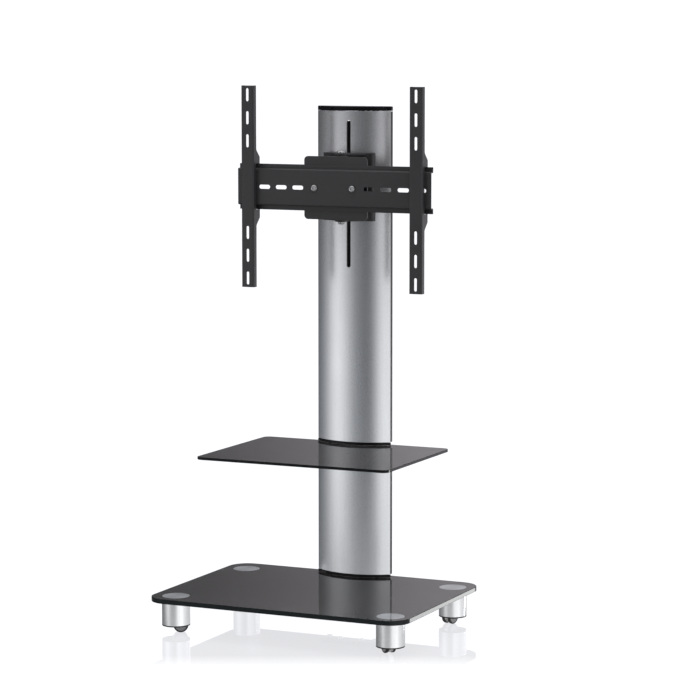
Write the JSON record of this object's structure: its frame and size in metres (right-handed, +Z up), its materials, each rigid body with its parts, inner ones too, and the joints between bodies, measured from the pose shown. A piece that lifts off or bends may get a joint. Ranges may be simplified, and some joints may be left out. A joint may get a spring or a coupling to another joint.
{
  "type": "television stand",
  "caption": "Open television stand: castered glass base, D-shaped aluminium column with a glass shelf, rear cable covers and a swivelling, height-adjustable screen mount.",
  "frame": {"origin": "on the floor, under the middle of the base plate", "axes": "+Z up, +Y towards the back, where the column stands, +X to the right seen from the front"},
  "size_m": [0.6, 0.444, 1.165],
  "materials": {
    "tinted_glass": "polished, black lacquer under the base plate",
    "column_aluminium": "satin, fine vertical grain",
    "disc_metal": "turned, fine circular marks",
    "sleeve_metal": "polished",
    "gloss_black": "gloss",
    "matte_black": "fine moulded grain",
    "wheel_plastic": "satin",
    "zinc": "zinc plated",
    "caster_metal": "cast, plated",
    "coated_steel": "black powder coat",
    "rubber": "matt"
  },
  "bodies": {
    "stand": {"base_glass": "tinted_glass", "base_clamp_plate": "coated_steel", "base_collar": "gloss_black", "lower_column": "column_aluminium", "shelf_pad": "rubber", "shelf_glass": "tinted_glass", "shelf_collar": "gloss_black", "upper_column": "column_aluminium", "tie_bolt_rear_left": "zinc", "tie_bolt_rear_right": "zinc", "tie_bolt_front_left": "zinc", "tie_bolt_front_right": "zinc", "foot_disc_front_left": "disc_metal", "foot_sleeve_front_left": "sleeve_metal", "foot_rim_front_left": "matte_black", "caster_stem_front_left": "zinc", "foot_disc_front_right": "disc_metal", "foot_sleeve_front_right": "sleeve_metal", "foot_rim_front_right": "matte_black", "caster_stem_front_right": "zinc", "foot_disc_rear_right": "disc_metal", "foot_sleeve_rear_right": "sleeve_metal", "foot_rim_rear_right": "matte_black", "caster_stem_rear_right": "zinc", "foot_disc_rear_left": "disc_metal", "foot_sleeve_rear_left": "sleeve_metal", "foot_rim_rear_left": "matte_black", "caster_stem_rear_left": "zinc"},
    "lower_cover": {"lower_rear_cover": "matte_black"},
    "upper_cover": {"upper_rear_cover": "matte_black"},
    "cap": {"top_cap": "gloss_black"},
    "mount_carriage": {"mount_carrier": "coated_steel", "clamp_bar": "zinc", "carrier_bolt_lower": "zinc", "carrier_bolt_upper": "zinc", "pivot_pin": "zinc"},
    "swivel_head": {"swivel_bracket": "coated_steel", "cross_rail": "coated_steel", "rail_bolt_left": "zinc", "rail_bolt_right": "zinc"},
    "arm_left": {"screen_arm_left": "coated_steel", "arm_lock_screw_left": "zinc"},
    "arm_right": {"screen_arm_right": "coated_steel", "arm_lock_screw_right": "zinc"},
    "caster_front_left": {"caster_body_front_left": "caster_metal", "caster_axle_front_left": "zinc"},
    "wheel_left_front_left": {"caster_wheel_left_front_left": "wheel_plastic"},
    "wheel_right_front_left": {"caster_wheel_right_front_left": "wheel_plastic"},
    "caster_front_right": {"caster_body_front_right": "caster_metal", "caster_axle_front_right": "zinc"},
    "wheel_left_front_right": {"caster_wheel_left_front_right": "wheel_plastic"},
    "wheel_right_front_right": {"caster_wheel_right_front_right": "wheel_plastic"},
    "caster_rear_right": {"caster_body_rear_right": "caster_metal", "caster_axle_rear_right": "zinc"},
    "wheel_left_rear_right": {"caster_wheel_left_rear_right": "wheel_plastic"},
    "wheel_right_rear_right": {"caster_wheel_right_rear_right": "wheel_plastic"},
    "caster_rear_left": {"caster_body_rear_left": "caster_metal", "caster_axle_rear_left": "zinc"},
    "wheel_left_rear_left": {"caster_wheel_left_rear_left": "wheel_plastic"},
    "wheel_right_rear_left": {"caster_wheel_right_rear_left": "wheel_plastic"}
  },
  "joints": [
    {"name": "caster_swivel_front_left", "type": "hinge", "parent": "stand", "child": "caster_front_left", "pos_m": [-0.252, -0.167, 0.04], "axis": [0, 0, 1], "continuous": true},
    {"name": "wheel_roll_left_front_left", "type": "hinge", "parent": "caster_front_left", "child": "wheel_left_front_left", "pos_m": [-0.24403, -0.16183, 0.016], "axis": [-0.5446, 0.8387, 0], "continuous": true},
    {"name": "wheel_roll_right_front_left", "type": "hinge", "parent": "caster_front_left", "child": "wheel_right_front_left", "pos_m": [-0.24403, -0.16183, 0.016], "axis": [-0.5446, 0.8387, 0], "continuous": true},
    {"name": "caster_swivel_front_right", "type": "hinge", "parent": "stand", "child": "caster_front_right", "pos_m": [0.252, -0.167, 0.04], "axis": [0, 0, 1], "continuous": true},
    {"name": "wheel_roll_left_front_right", "type": "hinge", "parent": "caster_front_right", "child": "wheel_left_front_right", "pos_m": [0.24483, -0.16077, 0.016], "axis": [-0.6561, -0.7547, 0], "continuous": true},
    {"name": "wheel_roll_right_front_right", "type": "hinge", "parent": "caster_front_right", "child": "wheel_right_front_right", "pos_m": [0.24483, -0.16077, 0.016], "axis": [-0.6561, -0.7547, 0], "continuous": true},
    {"name": "caster_swivel_rear_right", "type": "hinge", "parent": "stand", "child": "caster_rear_right", "pos_m": [0.252, 0.167, 0.04], "axis": [0, 0, 1], "continuous": true},
    {"name": "wheel_roll_left_rear_right", "type": "hinge", "parent": "caster_rear_right", "child": "wheel_left_rear_right", "pos_m": [0.24954, 0.15782, 0.016], "axis": [0.9659, -0.2588, 0], "continuous": true},
    {"name": "wheel_roll_right_rear_right", "type": "hinge", "parent": "caster_rear_right", "child": "wheel_right_rear_right", "pos_m": [0.24954, 0.15782, 0.016], "axis": [0.9659, -0.2588, 0], "continuous": true},
    {"name": "caster_swivel_rear_left", "type": "hinge", "parent": "stand", "child": "caster_rear_left", "pos_m": [-0.252, 0.167, 0.04], "axis": [0, 0, 1], "continuous": true},
    {"name": "wheel_roll_left_rear_left", "type": "hinge", "parent": "caster_rear_left", "child": "wheel_left_rear_left", "pos_m": [-0.24725, 0.17523, 0.016], "axis": [-0.866, 0.5, 0], "continuous": true},
    {"name": "wheel_roll_right_rear_left", "type": "hinge", "parent": "caster_rear_left", "child": "wheel_right_rear_left", "pos_m": [-0.24725, 0.17523, 0.016], "axis": [-0.866, 0.5, 0], "continuous": true},
    {"name": "mount_height", "type": "slide", "parent": "stand", "child": "mount_carriage", "axis": [0, 0, 1], "range_m": [-0.1, 0.08]},
    {"name": "mount_swivel", "type": "hinge", "parent": "mount_carriage", "child": "swivel_head", "pos_m": [0, 0.133, 0.945], "axis": [0, 0, 1], "range_deg": [-20, 20]},
    {"name": "arm_slide_left", "type": "slide", "parent": "swivel_head", "child": "arm_left", "axis": [-1, 0, 0], "range_m": [-0.1, 0.012]},
    {"name": "arm_slide_right", "type": "slide", "parent": "swivel_head", "child": "arm_right", "axis": [1, 0, 0], "range_m": [-0.1, 0.012]},
    {"name": "lower_cover_pull_off", "type": "slide", "parent": "stand", "child": "lower_cover", "axis": [0, 1, 0], "range_m": [0, 0.05]},
    {"name": "upper_cover_pull_off", "type": "slide", "parent": "stand", "child": "upper_cover", "axis": [0, 1, 0], "range_m": [0, 0.05]},
    {"name": "cap_lift_off", "type": "slide", "parent": "stand", "child": "cap", "axis": [0, 0, 1], "range_m": [0, 0.03]}
  ]
}
